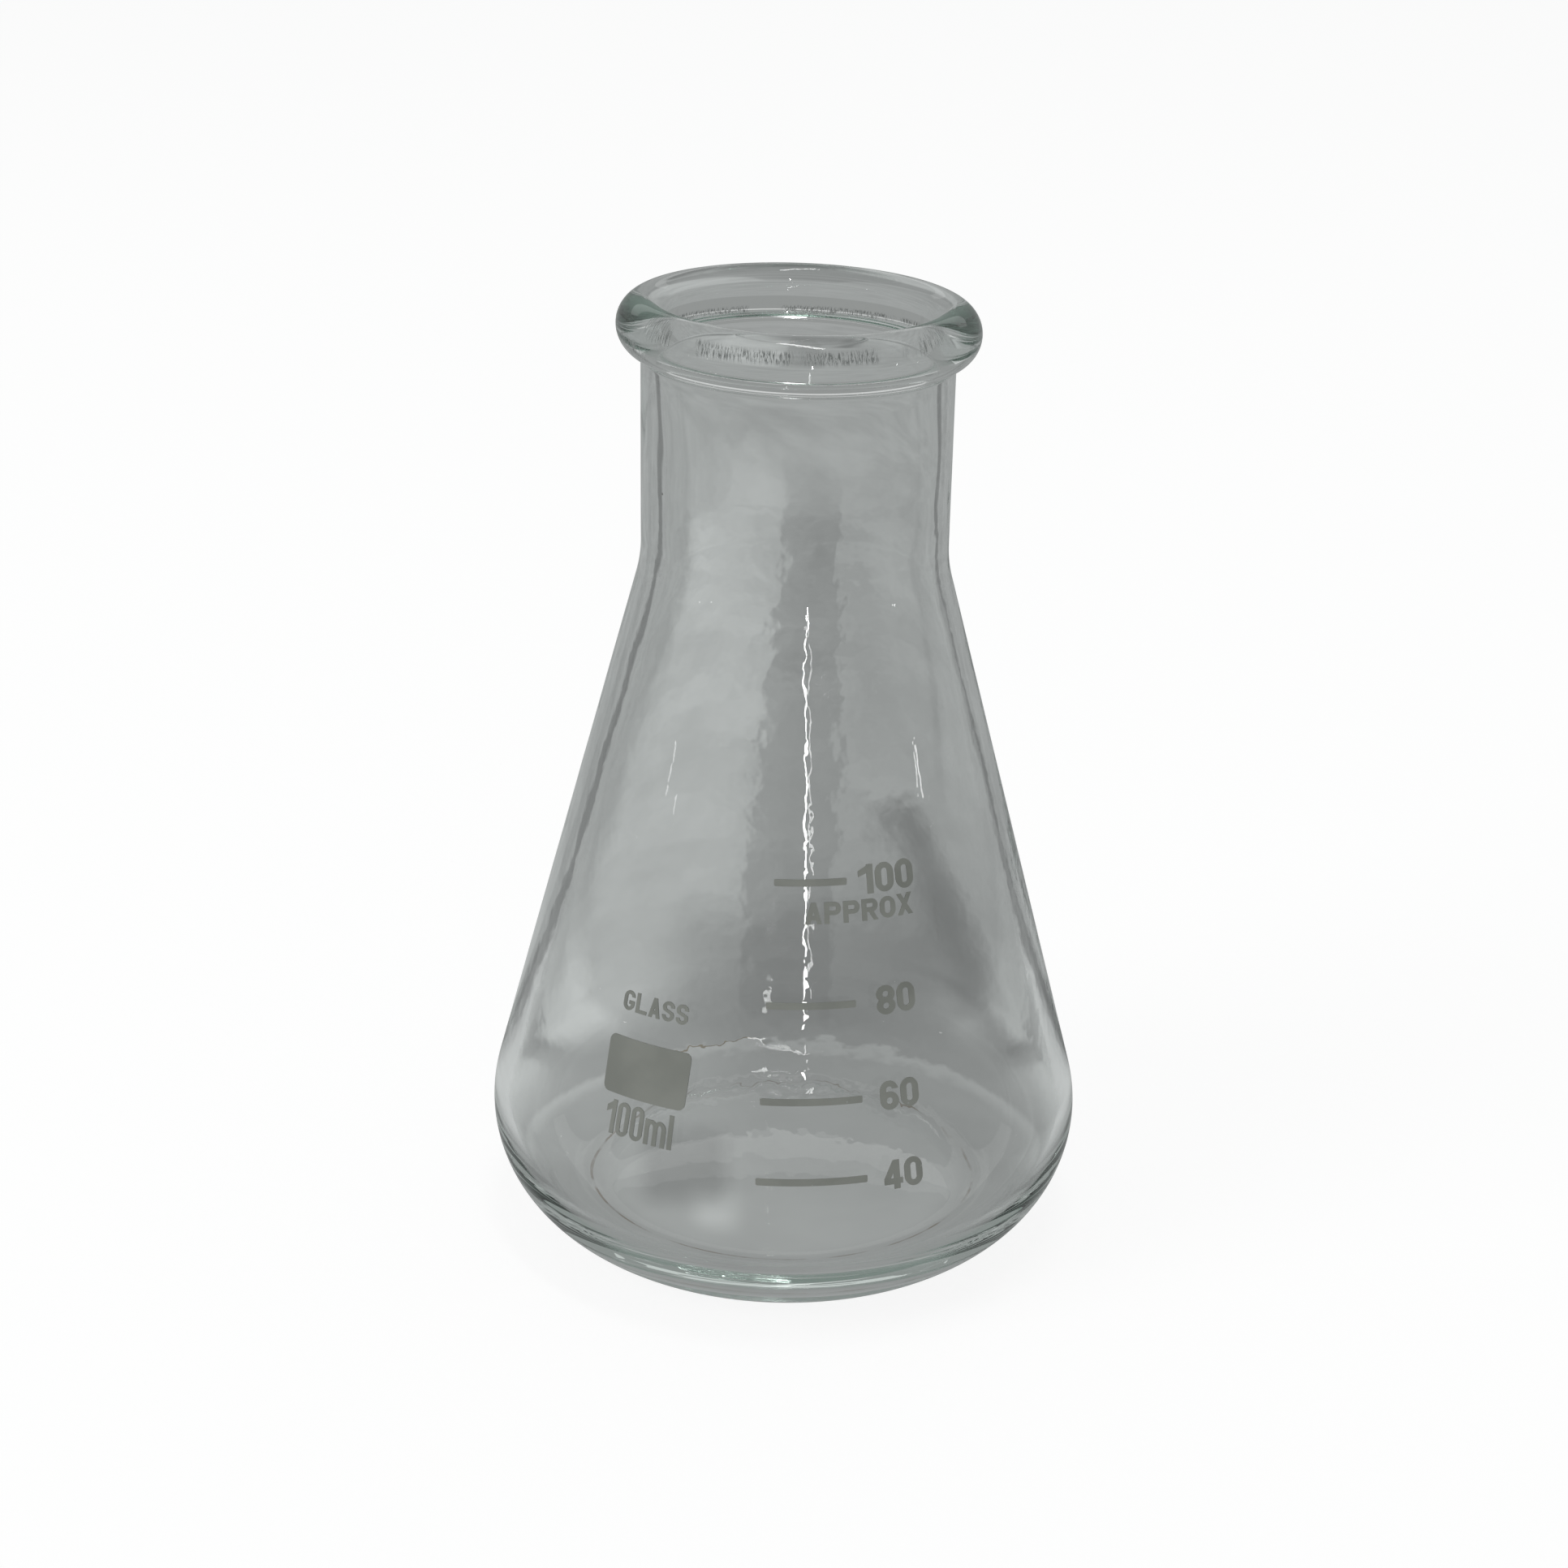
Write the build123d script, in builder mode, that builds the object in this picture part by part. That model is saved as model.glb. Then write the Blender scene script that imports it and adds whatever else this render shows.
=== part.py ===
from build123d import *
import os
from dataclasses import dataclass
from math import acos, atan2, cos, degrees, radians, sin, sqrt

# A small wide-neck conical flask: one piece of blown glass with a rolled rim, a heavy
# heel and a pushed-up base, and the marks that are fired on in enamel.
# Millimetres, +Z up. The origin is on the table in the middle of the base, and the
# volume scale faces -Y.

# glass, outside
overall_height = 102.6
body_diameter = 65.0
heel_radius = 14.2          # rounding between the cone and the foot
foot_radius = 5.0           # tighter rounding between the heel and the table
foot_inset = 9.8            # from the widest point in to the edge of the flat land
shoulder_radius = 14.0      # hollow rounding between the cone and the neck
neck_diameter = 32.0
neck_length = 19.1          # straight wall, from the shoulder to the fillet under the rim
rim_projection = 2.5        # how far the rim stands out from the neck
rim_radius = 2.9            # section of the rolled rim
rim_fillet = 0.8            # between the neck and the rim

# glass, base and inside
wall = 2.0
base_thickness = 3.2
push_up = 2.3               # rise of the underside in the middle
land_width = 1.2            # flat ring that the flask stands on
land_rounding = 4.0         # from the land into the pushed-up underside
floor_radius = 10.0         # inside corner between the floor and the cone

# enamel
enamel_thickness = 0.1
line_thickness = 0.67
line_rounding = 0.15
line_lengths = {40: 11.4, 60: 10.4, 80: 9.1, 100: 7.3}      # by volume in millilitres
numeral_gaps = {40: 1.8, 60: 1.9, 80: 2.2, 100: 1.2}        # from the line to its numeral
letter_gap = 0.22

spot_width = 9.7            # blank patch for writing on
spot_height = 5.8
spot_rounding = 0.7
spot_middle = 27.7          # height of its middle
label_azimuth = -34.6       # column with the patch and the two words
capacity_gap = 0.65         # between the patch and the word under it
glass_type_gap = 2.7        # between the patch and the word over it
approx_gap = 0.5            # between the top numeral and the word under it
approx_azimuth = 12.1


@dataclass(frozen=True)
class Lettering:
    """Size of one style of print: height, width of a round letter, weight of a stroke."""

    height: float
    width: float
    weight: float


numeral_style = Lettering(2.87, 2.03, 0.68)
approx_style = Lettering(2.1, 1.72, 0.52)
capacity_style = Lettering(3.44, 1.5, 0.5)
glass_type_style = Lettering(1.97, 1.36, 0.42)
letter_widths = {"1": 0.78, "m": 1.62, "l": 0.36}       # beside a round letter's 1.0

# centres of the roundings, as radius and height
body_radius = body_diameter / 2
neck_radius = neck_diameter / 2
bore_radius = neck_radius - wall
rim_center = Vector(neck_radius + rim_projection - rim_radius, overall_height - rim_radius)
mouth_radius = rim_center.X - bore_radius
fillet_reach = rim_radius + rim_fillet
fillet_x = neck_radius + rim_fillet
fillet_center = Vector(
    fillet_x, rim_center.Y - sqrt(fillet_reach**2 - (fillet_x - rim_center.X) ** 2)
)
shoulder_center = Vector(neck_radius + shoulder_radius, fillet_center.Y - neck_length)
foot_center = Vector(body_radius - foot_inset, foot_radius)
heel_x = body_radius - heel_radius
heel_rise = sqrt((heel_radius - foot_radius) ** 2 - (foot_center.X - heel_x) ** 2)
heel_center = Vector(heel_x, foot_center.Y + heel_rise)
heel_touch = degrees(atan2(-heel_rise, foot_center.X - heel_x))

# the cone is the line that touches the heel on its outside and the shoulder on its
# hollow side, and lean is the angle of its outward normal above the horizontal
heel_to_shoulder = shoulder_center - heel_center
lean = atan2(heel_to_shoulder.Y, heel_to_shoulder.X) - acos(
    (heel_radius + shoulder_radius) / heel_to_shoulder.length
)
cone_normal = Vector(cos(lean), sin(lean))
cone_offset = heel_center.dot(cone_normal) + heel_radius
floor_center_y = base_thickness + floor_radius
floor_center = Vector(
    (cone_offset - wall - floor_radius - floor_center_y * sin(lean)) / cos(lean),
    floor_center_y,
)


def dome(edge_center, edge_radius, rise):
    """Radius and half angle of a dome that flows into the rounding round its edge."""
    drop = edge_radius - rise
    radius = (edge_center.X**2 + drop**2 - edge_radius**2) / (2 * rise)
    return radius, degrees(atan2(edge_center.X, radius + drop))


def outline_underside():
    """Middle of the underside, over the land and round the foot, to the heel."""
    land_center = Vector(foot_center.X - land_width, land_rounding)
    radius, half_angle = dome(land_center, land_rounding, push_up)
    CenterArc((0, push_up - radius), radius, 90, -half_angle)
    CenterArc(land_center, land_rounding, 270 - half_angle, half_angle)
    Line((land_center.X, 0), (foot_center.X, 0))
    CenterArc(foot_center, foot_radius, -90, 90 + heel_touch)


def outline_wall(grow=0.0):
    """Heel, cone, shoulder and neck, up to the fillet under the rim, moved out by grow."""
    side = shoulder_radius - grow
    CenterArc(heel_center, heel_radius + grow, heel_touch, degrees(lean) - heel_touch)
    Line(
        heel_center + cone_normal * (heel_radius + grow),
        shoulder_center - cone_normal * side,
    )
    CenterArc(shoulder_center, side, 180 + degrees(lean), -degrees(lean))
    Line(
        (neck_radius + grow, shoulder_center.Y),
        (neck_radius + grow, fillet_center.Y),
    )


def outline_rim():
    """Fillet, rolled rim and the rounding that leads into the bore."""
    to_rim = rim_center - fillet_center
    touch = degrees(atan2(to_rim.Y, to_rim.X))
    CenterArc(fillet_center, rim_fillet, 180, touch - 180)
    CenterArc(rim_center, rim_radius, touch - 180, 270 - touch)
    CenterArc((rim_center.X, overall_height - mouth_radius), mouth_radius, 90, 90)


def outline_inside():
    """Bore, shoulder, cone, inside corner and floor, down to the axis."""
    side = shoulder_radius + wall
    Line((bore_radius, overall_height - mouth_radius), (bore_radius, shoulder_center.Y))
    CenterArc(shoulder_center, side, 180, degrees(lean))
    Line(
        shoulder_center - cone_normal * side,
        floor_center + cone_normal * floor_radius,
    )
    radius, half_angle = dome(floor_center, floor_radius, push_up)
    CenterArc(floor_center, floor_radius, degrees(lean), -degrees(lean) - 90 - half_angle)
    floor_top = base_thickness + push_up
    CenterArc((0, floor_top - radius), radius, 90 - half_angle, half_angle)


# the glass, turned about its axis
with BuildPart() as flask_body:
    with BuildSketch(Plane.XZ):
        with BuildLine():
            outline_underside()
            outline_wall()
            outline_rim()
            outline_inside()
            Line((0, base_thickness + push_up), (0, push_up))
        make_face()
    revolve(axis=Axis.Z)

# the space inside, which sets the volume scale
with BuildPart() as cavity:
    with BuildSketch(Plane.XZ):
        with BuildLine():
            outline_inside()
            Line((0, base_thickness + push_up), (0, overall_height - mouth_radius))
            Line(
                (0, overall_height - mouth_radius),
                (bore_radius, overall_height - mouth_radius),
            )
        make_face()
    revolve(axis=Axis.Z)

# a layer of enamel over the whole outside, from the foot to the rim
with BuildPart() as enamel_layer:
    with BuildSketch(Plane.XZ):
        with BuildLine():
            outline_wall()
            outline_wall(enamel_thickness)
            heel_edge = Vector(1, 0).rotate(Axis.Z, heel_touch)
            Line(
                heel_center + heel_edge * heel_radius,
                heel_center + heel_edge * (heel_radius + enamel_thickness),
            )
            Line(
                (neck_radius, fillet_center.Y),
                (neck_radius + enamel_thickness, fillet_center.Y),
            )
        make_face()
    revolve(axis=Axis.Z)


def level(millilitres):
    """Height of the surface of this much liquid in the upright flask."""
    low = base_thickness
    high = overall_height - mouth_radius
    for _ in range(18):
        middle = (low + high) / 2
        with BuildPart() as liquid:
            add(cavity.part)
            split(bisect_by=Plane.XY.offset(middle), keep=Keep.BOTTOM)
        if liquid.part.volume < millilitres * 1000:
            low = middle
        else:
            high = middle
    return middle


def outside_radius(height):
    """Radius of the cone's outside at this height."""
    return (cone_offset - height * sin(lean)) / cos(lean)


def facing(azimuth, height):
    """Upright plane through the axis, seen from outside at this azimuth from -Y."""
    turn = radians(azimuth)
    return Plane(
        origin=(0, 0, height),
        x_dir=(cos(turn), sin(turn), 0),
        z_dir=(sin(turn), -cos(turn), 0),
    )


# Letters are drawn about x = 0 with their feet on y = 0, from their own width and height
# and the weight of their upright strokes.
FLAT = 0.8      # weight of a level stroke, beside an upright one


def stroke(bottom, top, weight):
    """Straight stroke whose two ends are cut level."""
    half = weight / 2
    Polygon(
        (bottom[0] - half, bottom[1]),
        (bottom[0] + half, bottom[1]),
        (top[0] + half, top[1]),
        (top[0] - half, top[1]),
        align=None,
    )


def block(left, bottom, right, top, mode=Mode.ADD):
    """Rectangle between two corners."""
    with Locations(((left + right) / 2, (bottom + top) / 2)):
        Rectangle(right - left, top - bottom, mode=mode)


def bowls(centers, radius_x, radius_y, weight):
    """Rings, with walls thinner at top and bottom; all are filled before any is opened."""
    for center in centers:
        with Locations(center):
            Ellipse(radius_x, radius_y)
    for center in centers:
        with Locations(center):
            Ellipse(radius_x - weight, radius_y - weight * FLAT, mode=Mode.SUBTRACT)


def draw_round(width, height, weight):
    """The letter O and the figure 0, with straight sides between round ends."""
    inside = width - 2 * weight
    with Locations((0, height / 2)):
        RectangleRounded(width, height, 0.49 * width)
        RectangleRounded(inside, height - 2 * weight * FLAT, 0.49 * inside, mode=Mode.SUBTRACT)


def draw_1(width, height, weight):
    """Upright with a flag."""
    upright = width / 2 - weight / 2
    stroke((upright, 0), (upright, height), weight)
    Polygon(
        (upright, height),
        (-width / 2, 0.8 * height),
        (-width / 2, 0.6 * height),
        (upright, 0.76 * height),
        align=None,
    )


def draw_4(width, height, weight):
    """Slope, level bar and upright."""
    upright = 0.18 * width
    bar = 0.17 * height
    top = bar + weight * FLAT
    stroke((upright, 0), (upright, height), weight)
    Polygon(
        (upright, height),
        (upright - weight / 2, height),
        (-width / 2, top),
        (-width / 2, bar),
        (upright, bar),
        align=None,
    )
    edge = upright - weight / 2
    slope = (height - top) / (edge + width / 2)
    left = min(edge - 0.1 * width, weight - width / 2)
    peak = top + (edge - left) * slope
    Polygon((edge, top), (edge, peak), (left, top), align=None, mode=Mode.SUBTRACT)
    block(edge, bar, width / 2, top)


def draw_6(width, height, weight):
    """Bowl with a back that hooks over it."""
    bowl = 0.31 * height
    draw_round(width, height, weight)
    block(0, bowl, width / 2, 0.72 * height, Mode.SUBTRACT)
    bowls([(0, bowl)], width / 2, bowl, weight)


def draw_8(width, height, weight):
    """Two bowls that share their middle."""
    bowl = (height + weight * FLAT) / 4
    bowls([(0, bowl), (0, height - bowl)], width / 2, bowl, weight)


def draw_a(width, height, weight):
    """Two slopes and a bar."""
    foot = width / 2 - weight / 2
    stroke((-foot, 0), (0, height), weight)
    stroke((foot, 0), (0, height), weight)
    block(-foot * 0.8, 0.18 * height, foot * 0.8, 0.18 * height + weight * FLAT)


def draw_g(width, height, weight):
    """Ring, cut open at the right, with a spur."""
    draw_round(width, height, weight)
    block(0, 0.5 * height, width / 2, 0.7 * height, Mode.SUBTRACT)
    block(0, 0.5 * height - weight * FLAT, width / 2, 0.5 * height)


def draw_capital_l(width, height, weight):
    """Upright and foot."""
    stroke((weight / 2 - width / 2, 0), (weight / 2 - width / 2, height), weight)
    block(-width / 2, 0, width / 2, weight * FLAT)


def draw_small_l(width, height, weight):
    """Upright."""
    stroke((0, 0), (0, height), weight)


def draw_m(width, height, weight):
    """Two arches on three uprights, three quarters as tall as a capital."""
    top = 0.74 * height
    pitch = (width - weight) / 2
    arch = 0.35 * top
    arches = [(-pitch / 2, top - arch), (pitch / 2, top - arch)]
    bowls(arches, (pitch + weight) / 2, arch, weight)
    block(-width / 2, top - 2 * arch, width / 2, top - arch, Mode.SUBTRACT)
    for upright in (-pitch, 0, pitch):
        stroke((upright, 0), (upright, top - arch), weight)
    stroke((-pitch, 0), (-pitch, top), weight)


def draw_p(width, height, weight):
    """Upright and bowl."""
    low = 0.4 * height
    bowl = (height - low) / 2
    turn = width / 2 - min(bowl, 0.6 * width)
    block(-width / 2, low, turn, height)
    with Locations((turn, low + bowl)):
        Ellipse(width / 2 - turn, bowl)
    block(weight - width / 2, low + weight * FLAT, turn, height - weight * FLAT, Mode.SUBTRACT)
    with Locations((turn, low + bowl)):
        Ellipse(width / 2 - turn - weight, bowl - weight * FLAT, mode=Mode.SUBTRACT)
    block(-width / 2, 0, weight - width / 2, height)


def draw_r(width, height, weight):
    """Upright, bowl and leg."""
    draw_p(width, height, weight)
    stroke((width / 2 - weight / 2, 0), (0, 0.5 * height), weight)


def draw_s(width, height, weight):
    """Two bowls, cut open on opposite sides of a sloping spine."""
    draw_8(width, height, weight)
    for side in (1, -1):
        Polygon(
            (0, height / 2 + side * weight * FLAT / 2),
            (side * width / 2, height / 2 - side * 0.06 * height),
            (side * width / 2, height / 2 + side * 0.2 * height),
            (0, height / 2 + side * 0.2 * height),
            align=None,
            mode=Mode.SUBTRACT,
        )


def draw_x(width, height, weight):
    """Two crossed strokes."""
    foot = width / 2 - weight / 2
    stroke((-foot, 0), (foot, height), weight)
    stroke((foot, 0), (-foot, height), weight)


LETTERS = {
    "0": draw_round,
    "1": draw_1,
    "4": draw_4,
    "6": draw_6,
    "8": draw_8,
    "A": draw_a,
    "G": draw_g,
    "L": draw_capital_l,
    "O": draw_round,
    "P": draw_p,
    "R": draw_r,
    "S": draw_s,
    "X": draw_x,
    "l": draw_small_l,
    "m": draw_m,
}


def text_width(text, style):
    """Length of a line of print."""
    letters = sum(style.width * letter_widths.get(letter, 1.0) for letter in text)
    return letters + letter_gap * (len(text) - 1)


def print_text(text, style, azimuth, foot):
    """Letters turned round the axis one by one, each a prism cut to the enamel layer."""
    radius = outside_radius(foot + style.height / 2)
    along = -text_width(text, style) / 2
    for letter in text:
        width = style.width * letter_widths.get(letter, 1.0)
        middle = azimuth + degrees((along + width / 2) / radius)
        with BuildSketch(facing(middle, foot)) as face:
            LETTERS[letter](width, style.height, style.weight)
        prism = extrude(face.sketch, amount=body_diameter, mode=Mode.PRIVATE)
        add(prism & enamel_layer.part)
        along += width + letter_gap


def print_patch(width, height, rounding, azimuth, middle):
    """Prism of a rounded rectangle, cut to the enamel layer."""
    with BuildSketch(facing(azimuth, middle)) as face:
        RectangleRounded(width, height, rounding)
    extrude(face.sketch, amount=body_diameter)
    add(enamel_layer.part, mode=Mode.INTERSECT)


def save(node, piece):
    """Name a finished piece and write it."""
    piece.label = node
    export_step(piece, f"parts/{node}.step")


os.makedirs("parts", exist_ok=True)
save("flask_body", flask_body.part)

# the scale: a line at the height of each volume, with its numeral to the right
for volume, length in line_lengths.items():
    height = level(volume)
    print(f"{volume} ml line at {height:.2f} mm")
    with BuildPart() as graduation_line:
        print_patch(length, line_thickness, line_rounding, 0, height)
    save(f"graduation_line_{volume}", graduation_line.part)

    figures = str(volume)
    along = length / 2 + numeral_gaps[volume] + text_width(figures, numeral_style) / 2
    foot = height - numeral_style.height / 2
    with BuildPart() as graduation_numeral:
        azimuth = degrees(along / outside_radius(height))
        print_text(figures, numeral_style, azimuth, foot)
    save(f"graduation_numeral_{volume}", graduation_numeral.part)

# foot now belongs to the highest numeral, which the word hangs under
with BuildPart() as approx_lettering:
    approx_foot = foot - approx_gap - approx_style.height
    print_text("APPROX", approx_style, approx_azimuth, approx_foot)
save("approx_lettering", approx_lettering.part)

# the patch and its two words
with BuildPart() as marking_spot:
    print_patch(spot_width, spot_height, spot_rounding, label_azimuth, spot_middle)
save("marking_spot", marking_spot.part)

with BuildPart() as capacity_lettering:
    capacity_foot = spot_middle - spot_height / 2 - capacity_gap - capacity_style.height
    print_text("100ml", capacity_style, label_azimuth, capacity_foot)
save("capacity_lettering", capacity_lettering.part)

with BuildPart() as glass_type_lettering:
    glass_type_foot = spot_middle + spot_height / 2 + glass_type_gap
    print_text("GLASS", glass_type_style, label_azimuth, glass_type_foot)
save("glass_type_lettering", glass_type_lettering.part)

print(f"cone leans {degrees(lean):.2f} degrees")
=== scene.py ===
"""Looks of a 100 ml wide-neck conical flask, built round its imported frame.

One piece of blown glass with a rolled rim carries twelve fired prints. The prints are the
frame's own nodes with an enamel finish. The glass is a new surface of revolution with the
small faults of blown glass: a wavy inside, a bore that is a little off centre and a rim
that is not quite level.
"""

import logging
from dataclasses import dataclass, field
from enum import Enum

import bpy
import numpy as np
from mathutils import Matrix, Vector

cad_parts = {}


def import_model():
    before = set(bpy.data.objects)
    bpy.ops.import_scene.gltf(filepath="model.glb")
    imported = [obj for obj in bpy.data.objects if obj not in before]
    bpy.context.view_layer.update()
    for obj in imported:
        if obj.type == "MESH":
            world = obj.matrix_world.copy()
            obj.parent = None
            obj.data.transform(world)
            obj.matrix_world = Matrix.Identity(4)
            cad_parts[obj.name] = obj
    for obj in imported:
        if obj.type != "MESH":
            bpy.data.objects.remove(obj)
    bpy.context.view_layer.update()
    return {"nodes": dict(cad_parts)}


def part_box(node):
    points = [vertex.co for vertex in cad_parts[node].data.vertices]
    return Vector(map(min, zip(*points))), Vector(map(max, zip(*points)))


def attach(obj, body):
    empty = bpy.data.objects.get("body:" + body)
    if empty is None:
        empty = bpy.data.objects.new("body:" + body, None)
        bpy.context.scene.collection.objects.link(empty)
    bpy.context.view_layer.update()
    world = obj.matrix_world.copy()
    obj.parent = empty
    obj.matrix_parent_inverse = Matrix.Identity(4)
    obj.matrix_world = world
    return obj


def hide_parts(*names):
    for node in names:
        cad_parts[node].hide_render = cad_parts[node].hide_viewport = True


LOG = logging.getLogger("flask")
MM = 0.001
LEVEL = "outline_height"
INSIDE = "outline_inside"

Colour = tuple[float, float, float]
Span = tuple[float, float]
Inputs = dict[str, float | str]
Outputs = dict[str, str]
Socket = bpy.types.NodeSocket


# ---------------------------------------------------------------- nodes


class NodeSheet:
    """Adds nodes to one tree and joins their sockets."""

    def __init__(self, tree: bpy.types.NodeTree) -> None:
        """Keep the tree that the nodes go into."""
        self.tree = tree

    def add(self, kind: str, settings: dict | None = None, **inputs: object) -> bpy.types.Node:
        """Add a node.

        Args:
            kind: Blender's name for the node, without its ShaderNode prefix.
            settings: the node's own properties.
            **inputs: a value or a socket for each input, by its name in lower case with
                underscores for spaces.

        Returns:
            The new node.
        """
        name = kind if kind.startswith("Node") else f"ShaderNode{kind}"
        node = self.tree.nodes.new(name)
        for key, value in (settings or {}).items():
            setattr(node, key, value)
        by_name: dict[str, Socket] = {}
        for socket in node.inputs:
            if socket.enabled:
                by_name.setdefault(socket.name.lower().replace(" ", "_"), socket)
        for key, value in inputs.items():
            self.feed(by_name[key], value)
        return node

    def feed(self, target: Socket, value: object) -> None:
        """Join a socket to an input, or set the input's own value.

        Args:
            target: the input.
            value: another node's output, or a number, colour or vector.
        """
        if isinstance(value, bpy.types.NodeSocket):
            self.tree.links.new(value, target)
        elif target.type == "RGBA" and len(value) == 3:
            target.default_value = (*value, 1.0)
        else:
            target.default_value = value

    def math(
        self, operation: str, first: object, second: object = 0.0, third: object = 0.0
    ) -> Socket:
        """Work out one number from up to three.

        Args:
            operation: Blender's name for the sum.
            first: number or socket.
            second: number or socket.
            third: number or socket.

        Returns:
            The result's socket.
        """
        node = self.tree.nodes.new("ShaderNodeMath")
        node.operation = operation
        for target, value in zip(node.inputs, (first, second, third)):
            self.feed(target, value)
        return node.outputs[0]

    def product(self, *factors: object) -> Socket:
        """Multiply numbers, from the first to the last.

        Args:
            *factors: two or more numbers or sockets.

        Returns:
            The product's socket.
        """
        total = factors[0]
        for factor in factors[1:]:
            total = self.math("MULTIPLY", total, factor)
        return total

    def toned(self, tone: object, mask: Socket, factor: float) -> Socket:
        """Multiply a tone by a factor where a mask is 1, and keep it where the mask is 0.

        Args:
            tone: tone so far.
            mask: where the factor holds.
            factor: the factor.

        Returns:
            The new tone's socket.
        """
        return self.product(tone, self.math("MULTIPLY_ADD", mask, factor - 1.0, 1.0))

    def fade(
        self, value: object, low: float, high: float, start: float = 0.0, end: float = 1.0
    ) -> Socket:
        """Carry a value smoothly from start at low to end at high, and hold it beyond them.

        Args:
            value: number or socket that is read.
            low: where the change begins.
            high: where the change ends.
            start: result at low.
            end: result at high.

        Returns:
            The result's socket.
        """
        node = self.add(
            "MapRange",
            {"interpolation_type": "SMOOTHSTEP"},
            value=value,
            from_min=low,
            from_max=high,
            to_min=start,
            to_max=end,
        )
        return node.outputs[0]

    def band(self, value: object, middle: float, half_width: float, soft: float) -> Socket:
        """Mask that is 1 within half_width of the middle and 0 beyond a soft edge.

        Args:
            value: number or socket that is read.
            middle: middle of the band.
            half_width: half of the band's full part.
            soft: width of the edge.

        Returns:
            The mask's socket.
        """
        away = self.math("ABSOLUTE", self.math("SUBTRACT", value, middle))
        return self.fade(away, half_width, half_width + soft, 1.0, 0.0)

    def between(self, value: object, span: Span, soft: float) -> Socket:
        """Mask that is 1 between two ends and 0 beyond them, with a soft edge over each end.

        Args:
            value: number or socket that is read.
            span: the two ends.
            soft: width of the edge.

        Returns:
            The mask's socket.
        """
        middle, half = sum(span) / 2, (span[1] - span[0]) / 2
        return self.band(value, middle, half - soft / 2, soft)

    def blend(self, share: object, first: object, second: object) -> Socket:
        """Mix two colours.

        Args:
            share: how much of the second, from 0 to 1.
            first: colour or socket.
            second: colour or socket.

        Returns:
            The colour's socket.
        """
        node = self.tree.nodes.new("ShaderNodeMix")
        node.data_type = "RGBA"
        self.feed(node.inputs[0], share)
        self.feed(node.inputs[6], first)
        self.feed(node.inputs[7], second)
        return node.outputs[2]

    def by_sight(self, direct: Socket, through: Socket) -> Socket:
        """Choose between two shaders by how a surface is seen.

        Args:
            direct: shader for what the eye sees directly.
            through: shader for what is seen through glass or in it.

        Returns:
            The shader's socket.
        """
        mixed = self.add("MixShader", fac=self.add("LightPath").outputs["Is Camera Ray"])
        self.feed(mixed.inputs[1], through)
        self.feed(mixed.inputs[2], direct)
        return mixed.outputs[0]


class EffectGroup:
    """A shader node group with named inputs and outputs, built once and used by name."""

    built: dict[str, bpy.types.NodeTree] = {}
    name: str = ""

    def sockets(self) -> tuple[Inputs, Outputs]:
        """Give the inputs, with their defaults, and the outputs, with their types."""
        raise NotImplementedError

    def fill(self, sheet: NodeSheet, given: dict[str, Socket]) -> dict[str, Socket]:
        """Build the inside of the group and give the socket for each output."""
        raise NotImplementedError

    def tree(self) -> bpy.types.NodeTree:
        """Build the group the first time it is asked for.

        Returns:
            The group's tree.
        """
        if self.name in EffectGroup.built:
            return EffectGroup.built[self.name]
        tree = bpy.data.node_groups.new(self.name, "ShaderNodeTree")
        inputs, outputs = self.sockets()
        for name, default in inputs.items():
            kind = "NodeSocketVector" if default == "vector" else "NodeSocketFloat"
            socket = tree.interface.new_socket(name, in_out="INPUT", socket_type=kind)
            if default != "vector":
                socket.default_value = default
        for name, kind in outputs.items():
            tree.interface.new_socket(name, in_out="OUTPUT", socket_type=f"NodeSocket{kind}")
        sheet = NodeSheet(tree)
        entry = sheet.add("NodeGroupInput")
        exit_node = sheet.add("NodeGroupOutput")
        given = {name: entry.outputs[name] for name in inputs}
        for name, socket in self.fill(sheet, given).items():
            sheet.feed(exit_node.inputs[name], socket)
        EffectGroup.built[self.name] = tree
        return tree

    def place(self, sheet: NodeSheet, **values: object) -> bpy.types.Node:
        """Put the group into a material.

        Args:
            sheet: the material's sheet.
            **values: a value or socket for each input.

        Returns:
            The group node.
        """
        node = sheet.tree.nodes.new("ShaderNodeGroup")
        node.node_tree = self.tree()
        for name, value in values.items():
            sheet.feed(node.inputs[name], value)
        return node


class RoundTheAxis(EffectGroup):
    """Cylinder coordinates of a point: way round the axis, distance from it and height."""

    name = "round_the_axis"

    def sockets(self) -> tuple[Inputs, Outputs]:
        """Give the group's sockets."""
        return {"Point": "vector"}, {"Turn": "Float", "Radius": "Float", "Height": "Float"}

    def fill(self, sheet: NodeSheet, given: dict[str, Socket]) -> dict[str, Socket]:
        """Turn is the angle from +X in radians, and Radius the root of x squared plus y squared.

        Args:
            sheet: the group's sheet.
            given: its input sockets.

        Returns:
            A socket for each output.
        """
        parts = sheet.add("SeparateXYZ", vector=given["Point"])
        x, y, z = parts.outputs
        squared = sheet.math("MULTIPLY_ADD", x, x, sheet.product(y, y))
        return {
            "Turn": sheet.math("ARCTAN2", y, x),
            "Radius": sheet.math("SQRT", squared),
            "Height": z,
        }


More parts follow.
